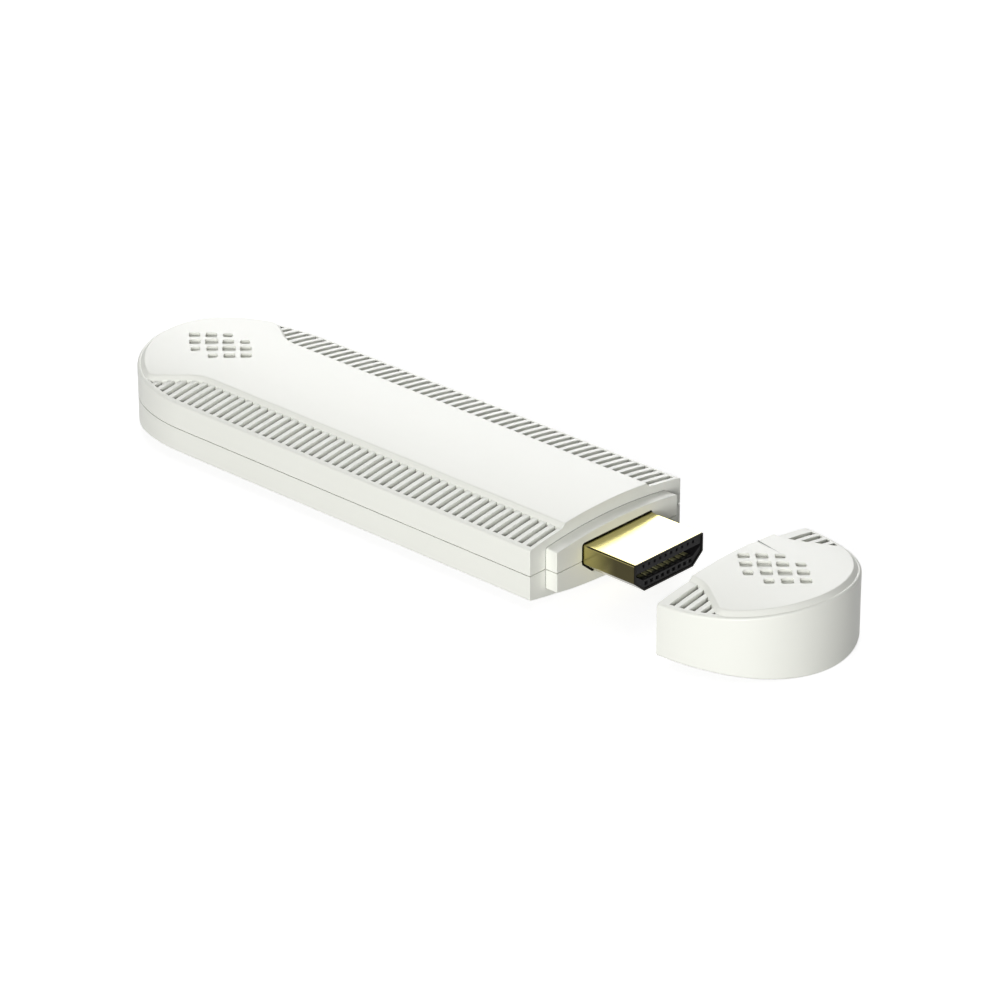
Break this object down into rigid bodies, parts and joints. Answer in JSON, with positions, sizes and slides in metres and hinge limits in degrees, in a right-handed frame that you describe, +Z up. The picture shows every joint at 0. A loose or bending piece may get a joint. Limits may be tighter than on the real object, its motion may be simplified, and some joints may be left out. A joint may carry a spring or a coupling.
{
  "type": "wireless display dongle",
  "caption": "Flat white two-shell stick with a grooved and dimpled cover, a gold video plug on its neck, and the pull-off cap for the plug lying in line with it.",
  "frame": {"origin": "under the middle of the stick and the cap as they lie, on the belly's lowest line", "axes": "+X along the stick from the round end towards the plug and the cap, +Z up, +Y towards the long side with the mode button"},
  "size_m": [0.126, 0.031, 0.0109],
  "materials": {
    "shell_white": "satin moulded",
    "plug_gold": "gold plated sheet",
    "insulator_grey": "moulded",
    "contact_gold": "plated strip",
    "board_green": "solder mask",
    "chip_black": "moulded package",
    "steel_sheet": "nickel plated sheet",
    "spreader_aluminium": "bare sheet",
    "pad_grey": "soft sheet",
    "inductor_grey": "pressed ferrite",
    "capacitor_tan": "fired"
  },
  "bodies": {
    "stick": {"top_cover": "shell_white", "bottom_cover": "shell_white", "main_board": "board_green", "board_screws": "steel_sheet", "plug_shell": "plug_gold", "plug_insulator": "insulator_grey", "plug_contacts_upper": "contact_gold", "plug_contacts_lower": "contact_gold", "power_socket_shell": "steel_sheet", "power_socket_tongue": "insulator_grey", "power_socket_contacts": "contact_gold", "mode_switch": "chip_black", "main_processor": "chip_black", "memory_chips": "chip_black", "flash_chip": "chip_black", "radio_chip": "chip_black", "radio_shield": "steel_sheet", "crystal": "steel_sheet", "power_inductor": "inductor_grey", "power_regulator": "chip_black", "capacitors": "capacitor_tan", "thermal_pad": "pad_grey", "heat_spreader": "spreader_aluminium", "antenna_near": "steel_sheet", "antenna_far": "steel_sheet"},
    "cap": {"plug_cap": "shell_white"},
    "button": {"mode_button": "shell_white", "mode_switch_plunger": "insulator_grey"}
  },
  "joints": [
    {"name": "cap_slide", "type": "slide", "parent": "stick", "child": "cap", "axis": [1, 0, 0], "range_m": [-0.0224, 0]},
    {"name": "mode_button_press", "type": "slide", "parent": "stick", "child": "button", "axis": [0, -1, 0], "range_m": [0, 0.0003], "stiffness_N_per_m": 1000}
  ]
}
